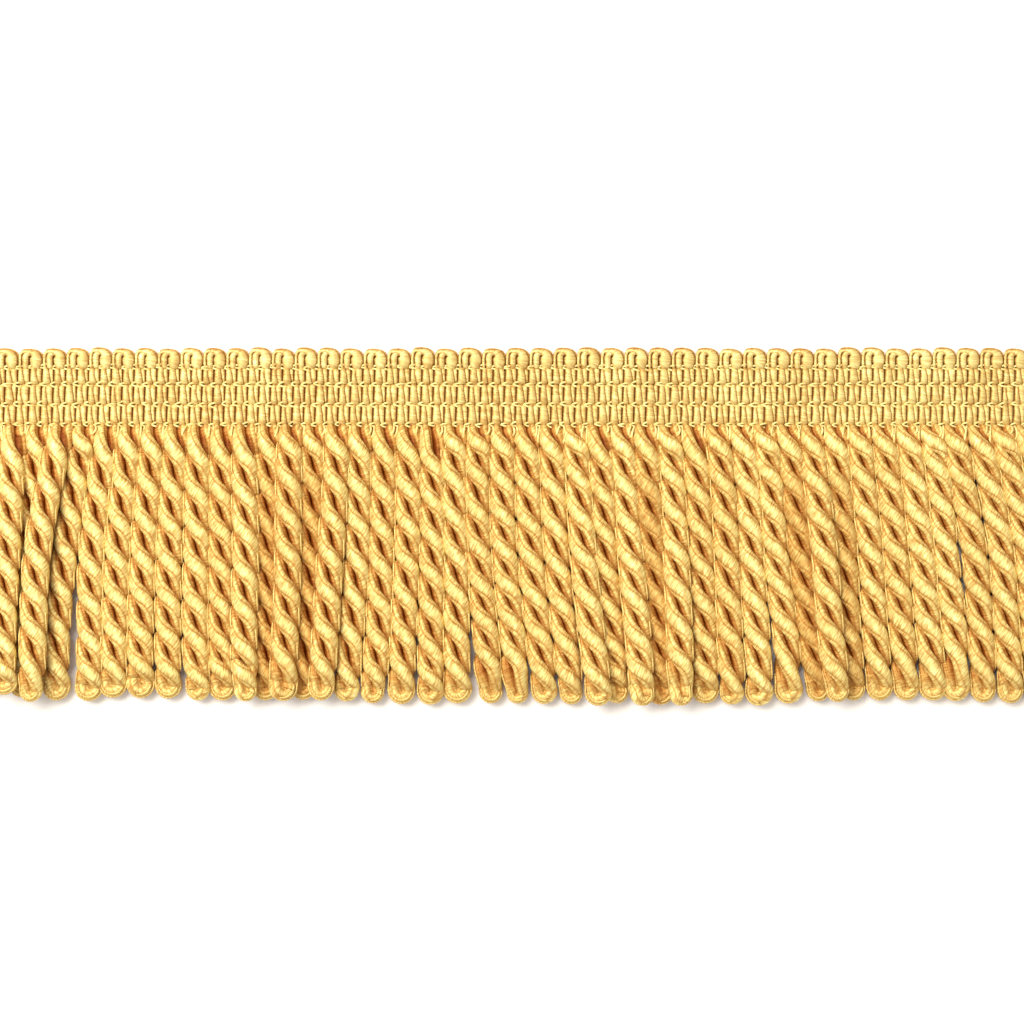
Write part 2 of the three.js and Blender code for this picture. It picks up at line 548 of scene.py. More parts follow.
@dataclass(frozen=True)
class SatinYarn:
    """Rayon yarn: bright filaments that wind round the strand.

    Its level paints shade and highlight into the colour: painted shade on the inward side, in grooves, low in
    the cord and where a strand is shaded, and a painted highlight on its outward edges. Where the painted
    shade darkens it, its gold turns to orange and then to brown: a level of 1 is the plain gold, and its red,
    green and blue follow the level by the three powers.
    """

    name: str
    gold: Colour = (0.735, 0.508, 0.161, 1.0)
    powers: tuple[float, float, float] = (0.52, 1.0, 1.45)
    shine: Colour = (1.0, 0.88, 0.45, 1.0)
    # painted shade on the inward side: the tucks where it starts, deepens and ends, and its levels
    tuck_shade_stops: tuple[float, float, float] = (0.62, 0.76, 0.90)
    tuck_shade_levels: tuple[float, float] = (0.55, 0.13)
    # painted highlight on the outward edges
    rim_highlight_level: float = 1.2
    # painted shade in grooves and on shaded strands
    groove_and_shade_level: float = 0.5
    # painted shade low in the cord
    low_shade_levels: tuple[float, float] = (0.84, 0.2)
    filament_slant: float = -0.25
    filaments_per_mm: float = 3.8
    changes_per_mm: float = 0.45
    filament_contrast: float = 0.88
    bundle_contrast: float = 0.4
    relief_mm: float = 0.07
    bundle_relief: float = 0.6
    roughness: float = 0.5
    stretch: float = 0.7
    metal: float = 0.3
    refraction: float = 1.4
    gloss: float = 0.5

    def level(self, plan: NodePlan) -> bpy.types.NodeSocket:
        """How bright the yarn is before its filaments: painted shade where it is tucked in, grooved, shaded
        or low in its cord, a painted highlight at its outward edges, and its own random tone.

        Args:
            plan: the material's nodes.

        Returns:
            The level.
        """
        tuck, groove_and_shade, tone, low = (
            plan.add("ShaderNodeAttribute", attribute_name=label).outputs["Fac"]
            for label in ("tuck", "groove_and_shade", "tone", "low")
        )
        start, middle, end = self.tuck_shade_stops
        at_middle, at_end = self.tuck_shade_levels
        at_half, at_bottom = self.low_shade_levels
        shares = (
            # painted highlight on the outward edges, where the tuck is least
            plan.scale(tuck, 0.05, 0.2, self.rim_highlight_level, 1.0),
            # painted shade towards the inward side, where the plies meet
            plan.scale(tuck, start, middle, 1.0, at_middle),
            plan.scale(tuck, middle, end, 1.0, at_end / at_middle),
            # painted shade in grooves and where a strand is shaded
            plan.scale(groove_and_shade, 0.0, 1.0, 1.0, self.groove_and_shade_level),
            # painted shade low in the cord, between and under its neighbours
            plan.scale(low, 0.15, 0.5, 1.0, at_half),
            plan.scale(low, 0.5, 0.8, 1.0, at_bottom / at_half),
            plan.scale(tone, 0.0, 1.0, 0.90, 1.08),
        )
        level = shares[0]
        for share in shares[1:]:
            level = plan.math("MULTIPLY", level, share)
        return level

    def make(self) -> bpy.types.Material:
        """Builds the finish.

        Returns:
            The material.
        """
        plan = NodePlan(self.name)
        place = plan.add("ShaderNodeSeparateXYZ")
        plan.feed(place.inputs[0], plan.add("ShaderNodeUVMap", uv_map="YarnRun").outputs[0])
        run, around = place.outputs[0], place.outputs[1]
        across = plan.math("ADD", run, plan.math("MULTIPLY", around, self.filament_slant))
        filaments = self.streaks(plan, across, around, self.filaments_per_mm, self.changes_per_mm)
        bundles = self.streaks(plan, across, around, self.filaments_per_mm * 0.3, 0.3)
        fine = self.around_one(plan, filaments, self.filament_contrast)
        broad = self.around_one(plan, bundles, self.bundle_contrast)
        level = plan.math("MULTIPLY", self.level(plan), plan.math("MULTIPLY", fine, broad))
        tint = plan.add("ShaderNodeCombineColor")
        for socket, power in zip(tint.inputs, self.powers):
            plan.feed(socket, plan.math("POWER", level, power))
        tangent = plan.add("ShaderNodeTangent", direction_type="UV_MAP", uv_map="YarnRun")
        relief = plan.math("ADD", filaments, plan.math("MULTIPLY", bundles, self.bundle_relief))
        return plan.finish(
            {
                "Base Color": plan.mix(1.0, self.gold, tint.outputs[0], "MULTIPLY"),
                "Roughness": self.roughness,
                "Metallic": self.metal,
                "IOR": self.refraction,
                "Specular IOR Level": self.gloss,
                "Specular Tint": self.shine,
                "Anisotropic": self.stretch,
                "Tangent": tangent.outputs[0],
                "Normal": plan.bump(relief, self.relief_mm),
            }
        )

    def around_one(self, plan: NodePlan, value: object, contrast: float) -> bpy.types.NodeSocket:
        """Turns streaks into a brightness about 1.

        Args:
            plan: the material's nodes.
            value: the streaks.
            contrast: how far the brightest lies from the darkest.

        Returns:
            The brightness.
        """
        return plan.scale(value, 0.25, 0.75, 1.0 - contrast / 2, 1.0 + contrast / 2)

    def streaks(
        self, plan: NodePlan, across: object, around: object, per_mm: float, along_per_mm: float
    ) -> bpy.types.NodeSocket:
        """Fine streaks that run with the filaments.

        Args:
            plan: the material's nodes.
            across: the way over the filaments in millimetres.
            around: the way round the strand in millimetres.
            per_mm: how many streaks lie in a millimetre.
            along_per_mm: how many times a streak changes in a millimetre.

        Returns:
            A value about a half.
        """
        spread = plan.add("ShaderNodeCombineXYZ")
        plan.feed(spread.inputs[0], plan.math("MULTIPLY", across, per_mm))
        plan.feed(spread.inputs[1], plan.math("MULTIPLY", around, along_per_mm))
        noise = plan.add("ShaderNodeTexNoise", noise_dimensions="2D")
        noise.inputs["Scale"].default_value = 1.0
        noise.inputs["Detail"].default_value = 1.5
        plan.feed(noise.inputs["Vector"], spread.outputs[0])
        return noise.outputs[0]


@dataclass(frozen=True)
class PaleFloor:
    """A plain pale floor."""

    name: str = "pale_floor"
    colour: Colour = (0.955, 0.92, 0.86, 1.0)
    roughness: float = 0.8

    def make(self) -> bpy.types.Material:
        """Builds the finish."""
        return NodePlan(self.name).finish({"Base Color": self.colour, "Roughness": self.roughness})


@dataclass(frozen=True)
class SoftLight:
    """A square studio light: its place, its side and its power."""

    name: str
    place: tuple[float, float, float]
    side: float
    watts: float


@dataclass(frozen=True)
class Studio:
    """The camera straight above the trim, the floor under it and the lights over it."""

    view_middle_mm: tuple[float, float] = (-5.45, 3.17)
    view_width_mm: float = 216.2
    lens_mm: float = 85.0
    sensor_mm: float = 36.0
    floor_side: float = 6.0
    sky: float = 0.66
    lights: tuple[SoftLight, ...] = (
        SoftLight("key_light", (-0.46, 0.40, 0.80), 0.70, 14.0),
        SoftLight("fill_light", (0.6, -0.3, 0.8), 0.8, 1.0),
    )

    def make(self) -> None:
        """Builds the studio."""
        scene = bpy.context.scene
        scene.view_settings.view_transform = "Standard"
        data = bpy.data.cameras.new("camera")
        data.lens = self.lens_mm
        data.sensor_width = self.sensor_mm
        camera = put("camera", data)
        distance = self.lens_mm / self.sensor_mm * self.view_width_mm
        middle = (cad_box[0].z + cad_box[1].z) / 2
        camera.location = (self.view_middle_mm[0] * MM, self.view_middle_mm[1] * MM, distance * MM + middle)
        scene.camera = camera
        for light in self.lights:
            self.hang(light)
        world = bpy.data.worlds.new("sky")
        world.use_nodes = True
        background = world.node_tree.nodes["Background"]
        background.inputs["Color"].default_value = (1.0, 1.0, 1.0, 1.0)
        background.inputs["Strength"].default_value = self.sky
        scene.world = world
        self.lay_floor()

    def hang(self, light: SoftLight) -> None:
        """Hangs one light and turns it to the trim.

        Args:
            light: the light.
        """
        data = bpy.data.lights.new(light.name, "AREA")
        data.shape = "SQUARE"
        data.size = light.side
        data.energy = light.watts
        lamp = put(light.name, data)
        lamp.location = light.place
        lamp.rotation_mode = "QUATERNION"
        lamp.rotation_quaternion = lamp.location.to_track_quat("Z", "Y")

    def lay_floor(self) -> None:
        """Lays the floor at height 0."""
        half = self.floor_side / 2
        corners = [(-half, -half, 0.0), (half, -half, 0.0), (half, half, 0.0), (-half, half, 0.0)]
        mesh = bpy.data.meshes.new("floor")
        mesh.from_pydata(corners, [], [(0, 1, 2, 3)])
        mesh.materials.append(PaleFloor().make())
        floor = put("floor", mesh)


@dataclass(frozen=True)
class RimStrand:
    """An edge strand: its half width, how far it faces up in radians, and how far down the cord it starts."""

    half: float
    rise: float
    from_down: float


@dataclass(frozen=True)
class Taper:
    """A size along a cord that differs at the root and at the loop."""

    at_root: float
    full: float
    at_loop: float

    def along(self, share: np.ndarray, loop_size: float = 1.0) -> np.ndarray:
        """The size step by step.

        Args:
            share: shares of the drop, from 0 at the root.
            loop_size: how much larger than usual the cord's loop is.

        Returns:
            The size at each share.
        """
        size = self.at_root + (self.full - self.at_root) * smooth_step(0.0, 0.08, share)
        return size + (self.at_loop * loop_size - size) * smooth_step(0.9, 1.0, share)


@dataclass
class CordSkirt:
    """The skirt: two-ply cords, each one length of yarn that goes down, turns at a loop and comes back up.

    A ply's half sizes are out, away from the cord's middle line, and side, across it. The winding is how far
    its own middle line lies from the cord's. The plies dwell a little where they lie side by side.
    """

    layout: TrimLayout
    half_turns: int = 7
    steps_in_half_turn: int = 15
    steps_in_loop: int = 13
    ply_out: Taper = Taper(1.24, 1.26, 1.18)
    ply_side: Taper = Taper(1.42, 1.84, 1.5)
    winding: Taper = Taper(1.36, 1.7, 1.28)
    dwell: float = 0.2
    flatness: float = 0.72
    leaf_rise: float = 0.4
    spread_below: float = 0.55
    # cords that lie behind their neighbours take painted shade along their drop
    cords_behind: tuple[int, ...] = (12, 14, 28, 34, 36)
    shade_behind: float = 0.8
    rims: tuple[RimStrand, ...] = (RimStrand(0.24, 0.5, 19.5), RimStrand(0.28, 1.1, 71.0))
    # less painted shade on the inward side at the loop
    open_loop: float = 0.17
    rim_sunk: float = 0.04
    rim_width: float = 1.2
    rim_steps: int = 5
    rim_phases: tuple[float, float] = (-1.15, 0.15)
    loop_sizes: tuple[float, float] = (0.95, 1.32)
    loop_stretches: tuple[float, float] = (0.85, 1.25)
    root_overlap: float = 0.55
    held: float = 0.9
    pieces: int = 3
    early_slip: float = 1.5
    late_slip: float = 1.2
    loop_turn: float = 0.3
    sideways_wander: float = 0.22
    upward_wander: float = 0.15
    seed: int = 41
    finish: SatinYarn = field(default_factory=lambda: SatinYarn("cord_satin"))

    def rim_strands(self, ply: Strand, rim: RimStrand) -> list[Strand]:
        """The thin edge strands that part from a ply where it comes out from behind and turns to the front.

        Args:
            ply: the cord's yarn.
            rim: which edge strand.

        Returns:
            A short strand for each turn, on the side of the cord that is seen there.
        """
        out, side = ply.sides()
        level_out = unit(out * np.array([1.0, 1.0, 0.0]))
        facing = level_out * math.cos(rim.rise) + UP * math.sin(rim.rise)
        outer = np.einsum("ij,ij->i", facing, out) * ply.half_out
        lateral = np.einsum("ij,ij->i", facing, side) * ply.half_side
        reach = np.hypot(outer, lateral)
        outward = (outer * ply.half_out / reach)[:, None] * out
        sideways = (lateral * ply.half_side / reach)[:, None] * side
        line = ply.line + outward + sideways - self.rim_sunk * facing
        low, high = np.sin(self.rim_phases)
        shown = (out[:, 2] > low) & (out[:, 2] < high) & (line[:, 1] < -rim.from_down)
        runs = np.split(np.arange(len(shown)), np.flatnonzero(np.diff(shown)) + 1)
        strands = []
        for run in runs:
            if shown[run[0]] and len(run) >= self.rim_steps:
                half = rim.half * np.sqrt(np.sin(np.pi * np.linspace(0.06, 0.94, len(run))))
                wide = half * self.rim_width
                strands.append(Strand(line[run], facing[run], half, wide, Sections.THREAD.value, 1.0))
        return strands

    def ply_path(self, cord: int, chance: np.random.Generator) -> Strand:
        """One cord's yarn from its left root down to the loop and back up to its right root.

        Args:
            cord: the cord's number from the left.
            chance: the source of its small irregularities.

        Returns:
            The strand.
        """
        lie = self.layout.lie(cord)
        slips = chance.normal(0.0, 1.0, 2)
        wander = chance.uniform(-1.0, 1.0, 3)
        end_turn = float(np.clip(chance.normal(0.0, 1.0), -2.2, 2.2)) * self.loop_turn
        tone = float(chance.uniform(0.0, 1.0))
        size, stretch = chance.uniform(*self.loop_sizes), chance.uniform(*self.loop_stretches)
        wind_at_loop, out_at_loop = self.winding.at_loop * size, self.ply_out.at_loop * size
        start = -self.layout.heading_depth + self.root_overlap
        tip = -self.layout.drop + lie.shorter + wind_at_loop * stretch + out_at_loop
        steps = self.half_turns * self.steps_in_half_turn + 1
        share = np.linspace(0.0, 1.0, steps)
        held = self.held / (start - tip)
        twisted = np.clip((share - held) / (1.0 - held), 0.0, 1.0)
        plateau = smooth_step(0.02, 0.13, share) * (1.0 - smooth_step(0.86, 1.0, share))
        slip = (slips[0] * self.early_slip + slips[1] * self.late_slip * (share - 0.14)) * plateau
        turned = np.pi * self.half_turns * (twisted + slip / (start - tip))
        turned = turned + end_turn * smooth_step(0.8, 1.0, share)
        turned = turned - self.dwell / 2.0 * np.sin(2.0 * turned)
        winding = self.winding.along(share, size)
        out = self.ply_out.along(share, size)
        side = self.ply_side.along(share)
        rounding = np.append(np.array([0.6, 0.85, 0.97]), np.ones(steps - 3))
        height = self.resting_height(turned, winding, out * rounding, side * rounding)
        height = height + self.layout.climb(cord, share) + self.leaf_rise * np.cos(turned) ** 2 * plateau
        bend = wander[0] * np.sin(2.0 * np.pi * share) + wander[1] * np.sin(3.0 * np.pi * share)
        middle = np.stack(
            [
                self.layout.axis_x(cord, share) + self.sideways_wander * bend,
                start + (tip - start) * share,
                height + self.upward_wander * (1.0 + wander[2]) * np.sin(np.pi * share),
            ],
            axis=-1,
        )
        left_side = np.stack([-np.cos(turned), np.zeros(steps), np.sin(turned)], axis=-1)
        aside = winding[:, None] * left_side * np.array([1.0, 1.0, self.flatness])
        down = middle + aside
        back_up = middle - aside
        bend_angle = np.linspace(0.0, np.pi, self.steps_in_loop + 2)[1:-1]
        round_end = (
            np.cos(bend_angle)[:, None] * left_side[-1]
            + np.sin(bend_angle)[:, None] * np.array([0.0, -stretch, 0.0])
        )
        line = np.concatenate([down, middle[-1] + wind_at_loop * round_end, back_up[::-1]])
        outward = np.concatenate([left_side, unit(round_end), -left_side[::-1]])
        # painted shade along the cords that lie behind their neighbours
        behind = self.shade_behind * smooth_step(0.04, 0.3, share) * float(cord in self.cords_behind)
        # weakens the inward painted shade towards the loop
        open_end = 1.0 - self.open_loop * smooth_step(0.86, 0.97, share)
        half_out, half_side, shade, level, tuck_share = (
            self.there_and_back(values)
            for values in (out * rounding, side * rounding, behind, middle[:, 2], open_end)
        )
        half_side = half_side * (1.0 + self.spread_below * np.maximum(-outward[:, 2], 0.0))
        # painted shade on the ply where it turns to the back of the cord
        shade = np.maximum(shade, smooth_step(0.05, 0.75, -outward[:, 2]))
        section = Sections.PLY.value
        strand = Strand(line, outward, half_out, half_side, section, tone, shade, level, tuck_share)
        strand.line[:, 2] -= min(0.0, float(strand.rings()[0][:, :, 2].min()))
        return strand

    def there_and_back(self, values: np.ndarray) -> np.ndarray:
        """The values along the whole yarn, from those of its way down: its loop keeps the last of them."""
        return np.concatenate([values, np.full(self.steps_in_loop, values[-1]), values[::-1]])

    def resting_height(
        self, turned: np.ndarray, winding: np.ndarray, out: np.ndarray, side: np.ndarray
    ) -> np.ndarray:
        """How high a cord's middle line lies when the cord rests on the floor.

        Args:
            turned: how far the plies have turned at each step, in radians.
            winding: how far the plies lie from the middle line.
            out: a ply's half size away from the middle line.
            side: a ply's half width.

        Returns:
            The height at each step.
        """
        upright, level = np.abs(np.sin(turned)), np.abs(np.cos(turned))
        rise = self.flatness * winding
        needed = rise * upright + np.hypot(out * upright, side * level)
        crossings = np.flatnonzero(upright > 0.99)
        steps = np.arange(len(turned))
        between = (steps >= crossings[0]) & (steps <= crossings[-1])
        return np.where(between, rise + out, needed)

    def build(self) -> list[bpy.types.Object]:
        """Makes the skirt in a few pieces.

        Returns:
            The pieces.
        """
        material = self.finish.make()
        chance = np.random.default_rng(self.seed)
        cords = list(range(len(self.layout.roots)))
        made = []
        for number, share in enumerate(np.array_split(cords, self.pieces)):
            yarn = YarnMesh(self.layout)
            for cord in share:
                ply = self.ply_path(int(cord), chance)
                yarn.add(ply)
                for rim in self.rims:
                    for strand in self.rim_strands(ply, rim):
                        yarn.add(strand)
            piece = yarn.build(f"fringe_cords_{number + 1}", material)
            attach(piece, "root")
            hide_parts("cord_skirt")
            made.append(piece)
        return made


@dataclass(frozen=True)
class ArchStep:
    """A stop on a strand's way over a scallop, from the notch at its left: where, how thick, how sunk."""

    along: float
    down: float
    half: float
    sunk: float = 0.0


@dataclass(frozen=True)
class RootThread:
    """A thread end at the cords' roots: how far it starts past their border, and its greatest length."""

    offset: float
    longest: float


@dataclass
class WovenHeading:
    """The heading: a thin woven ground, ribs of weft that turn over in scallops, and locking chains."""

    layout: TrimLayout
    chain_rows: tuple[float, ...] = (4.0, 7.65, 11.9, 16.2)
    slot: float = 0.25
    lean: float = 0.75
    crest: float = 2.6
    pinched: float = 1.75
    pull_reach: float = 0.72
    pull_at_end: float = 1.3
    most_pull: float = 1.4
    rib_half: float = 0.85
    body_at_row: float = 0.42
    body_gain: float = 0.34
    uneven_body: float = 0.13
    overlap: float = 1.06
    row_shade: float = 0.75
    step: float = 0.37
    leg_top: float = 4.3
    stub_steps: tuple[float, ...] = (2.8, 2.1, 1.4, 0.7)
    ground_cells: tuple[int, int] = (12, 368)
    ground_inset: float = 0.15
    ground_back: float = 0.05
    ground_height: float = 1.2
    ground_top: float = 2.4
    ground_top_in_scallop: float = 0.32
    ground_roundness: float = 0.35
    outer_arch: tuple[ArchStep, ...] = (
        ArchStep(0.36, 3.6, 0.34),
        ArchStep(0.32, 2.3, 0.33),
        ArchStep(0.38, 1.25, 0.35),
        ArchStep(0.78, 0.72, 0.38),
        ArchStep(1.70, 0.68, 0.46),
        ArchStep(2.65, 0.86, 0.66),
        ArchStep(3.38, 1.35, 1.02),
        ArchStep(3.60, 2.4, 1.38),
        ArchStep(3.62, 3.6, 1.2),
    )
    inner_arch: tuple[ArchStep, ...] = (
        ArchStep(1.52, 3.6, 0.66),
        ArchStep(1.46, 2.6, 0.72),
        ArchStep(1.46, 1.7, 0.72, 0.05),
        ArchStep(1.9, 1.15, 0.55, 0.15),
        ArchStep(2.7, 1.25, 0.4, 0.4),
        ArchStep(3.3, 1.8, 0.35, 0.7),
        ArchStep(3.7, 2.8, 0.35, 0.9),
        ArchStep(4.1, 3.6, 0.38, 0.5),
    )
    rim_arch: tuple[ArchStep, ...] = (
        ArchStep(0.26, 0.9, 0.10, 0.35),
        ArchStep(0.70, 0.24, 0.15, 0.25),
        ArchStep(1.70, 0.05, 0.17, 0.2),
        ArchStep(2.85, 0.12, 0.17, 0.2),
        ArchStep(3.90, 0.42, 0.17, 0.2),
        ArchStep(4.62, 1.02, 0.17, 0.2),
        ArchStep(4.94, 1.9, 0.12, 0.3),
        ArchStep(4.98, 3.1, 0.10, 0.5),
    )
    usual_pitch: float = 5.03
    chain_start: float = 0.72
    chain_rise: float = 0.3
    root_thread_top: float = 16.4
    root_thread_sizes: tuple[RootThread, ...] = (RootThread(0.35, 4.6), RootThread(-0.45, 3.4))
    seed: int = 7
    # the ribs take painted shade on their sides and near the locking rows
    rib_finish: SatinYarn = field(
        default_factory=lambda: SatinYarn(
            "heading_satin",
            gold=(0.76, 0.58, 0.208, 1.0),
            rim_highlight_level=1.0,
            groove_and_shade_level=0.5,
            tuck_shade_stops=(0.22, 0.52, 0.8),
            tuck_shade_levels=(0.6, 0.2),
            filament_slant=0.2,
            filament_contrast=0.6,
            bundle_contrast=0.5,
            relief_mm=0.1,
        )
    )
    chain_finish: SatinYarn = field(
        default_factory=lambda: SatinYarn(
            "chain_thread",
            gold=(0.85, 0.70, 0.27, 1.0),
            rim_highlight_level=1.0,
            groove_and_shade_level=1.0,
            tuck_shade_stops=(0.5, 0.8, 1.2),
            filament_contrast=0.2,
            relief_mm=0.03,
        )
    )

    def slots(self) -> list[float]:
        """Where the slots between ribs stand at the heading's lower edge, from the left end to the right."""
        places = []
        for border, root in zip(self.layout.borders(), self.layout.roots):
            places += [border, root]
        return [*places, self.layout.length]

    def leaning(self, down: np.ndarray | float) -> np.ndarray | float:
        """How far a slot has leaned to the right at a depth below the scallops."""
        return self.lean * (1.0 - down / self.layout.heading_depth)

    def pinch(self, down: np.ndarray) -> np.ndarray:
        """How far the ribs are drawn down by the locking rows: 1 on a row, 0 between them."""
        pulls = [np.exp(-(((down - row) / self.pull_reach) ** 4)) for row in self.chain_rows]
        last = self.chain_rows[-1]
        below = self.pull_at_end * smooth_step(last, last + 0.5, down)
        return np.clip(np.sum(pulls, axis=0) + below, 0.0, self.most_pull)

    def course_share(self, down: np.ndarray) -> np.ndarray:
        """How far down its own course a place lies, from 0 under one locking row to 1 at the next."""
        rows = [0.0, *self.chain_rows, self.layout.heading_depth + 2.0]
        starts = np.array([rows[self.course(place)] for place in down])
        ends = np.array([rows[self.course(place) + 1] for place in down])
        return (np.asarray(down) - starts) / (ends - starts)

    def course(self, down: float) -> int:
        """The number of the course that a depth is in."""
        return int(sum(down >= row for row in self.chain_rows))

    def leg(self, column: int, chance: np.random.Generator) -> dict[str, np.ndarray]:
        """The straight run of one rib, from under the scallop down to the cords.

        Args:
            column: the rib's number from the left.
            chance: the source of its small irregularities.

        Returns:
            The body and the edge strand's middle lines and half widths, from the top down, and how far each
            step is shaded by a locking row.
        """
        slots = self.slots()
        down = np.arange(self.leg_top, self.layout.heading_depth + 0.2, self.step)
        share = self.course_share(down)
        gap = self.slot * (1.5 - 0.9 * share)
        left = slots[column] + gap / 2
        width = slots[column + 1] - slots[column] - gap
        courses = [self.course(place) for place in down]
        jitter, bulge = (chance.uniform(-1.0, 1.0, len(self.chain_rows) + 1)[courses] for _ in range(2))
        uneven = self.uneven_body * jitter + self.uneven_body * bulge * np.sin(np.pi * share)
        body = self.body_at_row + self.body_gain * share**1.2 + uneven
        body = np.convolve(np.pad(body, 1, mode="edge"), np.ones(3) / 3, mode="valid")
        crest = self.crest - (self.crest - self.pinched) * self.pinch(down)
        x = left + self.leaning(down)
        z = crest - self.rib_half
        near_row = np.max([np.exp(-(((down - row - 0.2) / 0.75) ** 2)) for row in self.chain_rows], axis=0)
        return {
            "shade": self.row_shade * near_row,
            "body": np.stack([x + width * body / 2, -down, z], axis=-1),
            "body_half": width * body / 2 * self.overlap,
            "edge": np.stack([x + width * (1 + body) / 2, -down, z - 0.05], axis=-1),
            "edge_half": width * (1 - body) / 2 * self.overlap,
        }

    def arch(self, cord: int, steps: tuple[ArchStep, ...], lift: float) -> tuple[np.ndarray, np.ndarray]:
        """The turn of a scallop, from the second rib of one cord over to the first rib of the next.

        Args:
            cord: the cord at the scallop's left.
            steps: the strand's stops.
            lift: how much higher or lower than usual this scallop stands.

        Returns:
            The strand's middle line and its half width, from left to right.
        """
        left, right = self.layout.roots[cord : cord + 2]
        stretch = (right - left) / self.usual_pitch
        stops = []
        for stop in steps:
            rise = lift * (1.0 - stop.down / self.chain_rows[0])
            place = left + self.leaning(stop.down) + stop.along * stretch
            height = self.crest - self.rib_half - stop.sunk
            stops.append([place, -stop.down + rise, height, stop.half])
        line = smooth_line(np.array(stops), 3)
        return line[:, :3], line[:, 3]

    def strand(
        self, line: np.ndarray, half: np.ndarray, tone: float, shade: np.ndarray | float = 0.0
    ) -> Strand:
        """A rib's strand with its outward side up.

        Args:
            line: its middle line.
            half: its half width at each step.
            tone: its brightness, from 0 to 1.
            shade: how far each step is shaded, from 0 to 1.

        Returns:
            The strand.
        """
        outward = np.tile(UP, (len(line), 1))
        depth = np.minimum(np.minimum(self.rib_half, half * 1.6), line[:, 2] - 0.05)
        from_start = np.arange(len(line))
        taper = smooth_step(-0.6, 1.2, np.minimum(from_start, from_start[::-1]))
        return Strand(line, outward, depth * taper, half * taper, Sections.RIB.value, tone, shade=shade)

    def build_ribs(self) -> bpy.types.Object:
        """Makes the ribs, each pair of them one length of yarn that turns over in a scallop.

        Returns:
            The piece.
        """
        chance = np.random.default_rng(self.seed)
        yarn = YarnMesh(self.layout)
        columns = 2 * len(self.layout.roots)
        legs = [self.leg(column, chance) for column in range(columns)]
        for first in range(1, columns - 1, 2):
            up, down = legs[first], legs[first + 1]
            tone = float(chance.uniform(0.0, 1.0))
            lift = float(chance.uniform(-0.15, 0.2))
            for side, steps in (("body", self.outer_arch), ("edge", self.inner_arch)):
                over, over_half = self.arch((first - 1) // 2, steps, lift)
                line = np.concatenate([up[side][::-1], over, down[side]])
                half = np.concatenate([up[f"{side}_half"][::-1], over_half, down[f"{side}_half"]])
                shade = np.concatenate([up["shade"][::-1], np.zeros(len(over)), down["shade"]])
                yarn.add(self.strand(line, half, tone, shade))
            rim, rim_half = self.arch((first - 1) // 2, self.rim_arch, lift)
            # the rim strand takes painted shade all along, a darker outline round the scallop
            yarn.add(self.strand(rim, rim_half, tone, np.ones(len(rim))))
        for cut in (legs[0], legs[-1]):
            for side in ("body", "edge"):
                stub = cut[side][0] + np.array([[0.0, above, -0.1] for above in self.stub_steps])
                line = np.concatenate([stub, cut[side]])
                half = np.concatenate([np.full(len(stub), cut[f"{side}_half"][0]), cut[f"{side}_half"]])
                yarn.add(self.strand(line, half, float(chance.uniform(0.0, 1.0))))
        return yarn.build("heading_ribs", self.rib_finish.make())

    def build_chains(self) -> bpy.types.Object:
        """Makes the locking chains: at each slot and row a thread loop that opens over the next rib.

        Returns:
            The piece.
        """
        chance = np.random.default_rng(self.seed + 1)
        yarn = YarnMesh(self.layout)
        half = np.array([0.18, 0.22, 0.23, 0.24, 0.24, 0.23, 0.2, 0.14])
        share = np.linspace(0.0, 1.0, len(half))
        outward = np.tile(UP, (len(half), 1))
        opening = (1.0 - np.exp(-2.6 * share)) / (1.0 - math.exp(-2.6))
        arched = self.chain_rise * np.sin(np.pi * np.clip(0.15 + share, 0.0, 1.0))
        height = self.pinched - 0.05 + arched - self.chain_rise * share**3
        for row in self.chain_rows:
            for left, right in zip(self.slots(), self.slots()[1:]):
                apex = left + self.leaning(row) - self.chain_start + chance.uniform(-0.2, 0.2)
                reach = min((right - left) * chance.uniform(0.8, 1.2), self.layout.length - apex)
                middle = -row + chance.uniform(-0.17, 0.17)
                for way, spread in ((1.0, chance.uniform(0.3, 0.75)), (-1.0, chance.uniform(0.4, 0.8))):
                    line = np.stack([apex + reach * share, middle + way * spread * opening, height], axis=-1)
                    tone = float(chance.uniform(0.0, 1.0))
                    yarn.add(Strand(line, outward, half, half, Sections.THREAD.value, tone))
        return yarn.build("locking_chains", self.chain_finish.make())

    def build_root_threads(self) -> bpy.types.Object:
        """Makes the short thread ends that hang from the last locking row between the cords.

        Returns:
            The piece.
        """
        chance = np.random.default_rng(self.seed + 2)
        yarn = YarnMesh(self.layout)
        half = np.array([0.2, 0.24, 0.25, 0.25, 0.24, 0.22, 0.16])
        share = np.linspace(0.0, 1.0, len(half))
        outward = np.tile(UP, (len(half), 1))
        for border in self.layout.borders()[1:-1]:
            for thread in self.root_thread_sizes:
                length = chance.uniform(0.55, 1.0) * thread.longest
                bow = chance.uniform(-0.5, 0.5)
                drift = chance.uniform(-0.9, 0.1)
                line = np.stack(
                    [
                        border + thread.offset + drift * share**2 + bow * np.sin(np.pi * share),
                        -self.root_thread_top - length * share,
                        2.1 + 1.5 * np.sin(0.8 * np.pi * share),
                    ],
                    axis=-1,
                )
                tone = float(chance.uniform(0.0, 1.0))
                yarn.add(Strand(line, outward, half, half, Sections.THREAD.value, tone))
        return yarn.build("root_threads", self.chain_finish.make())

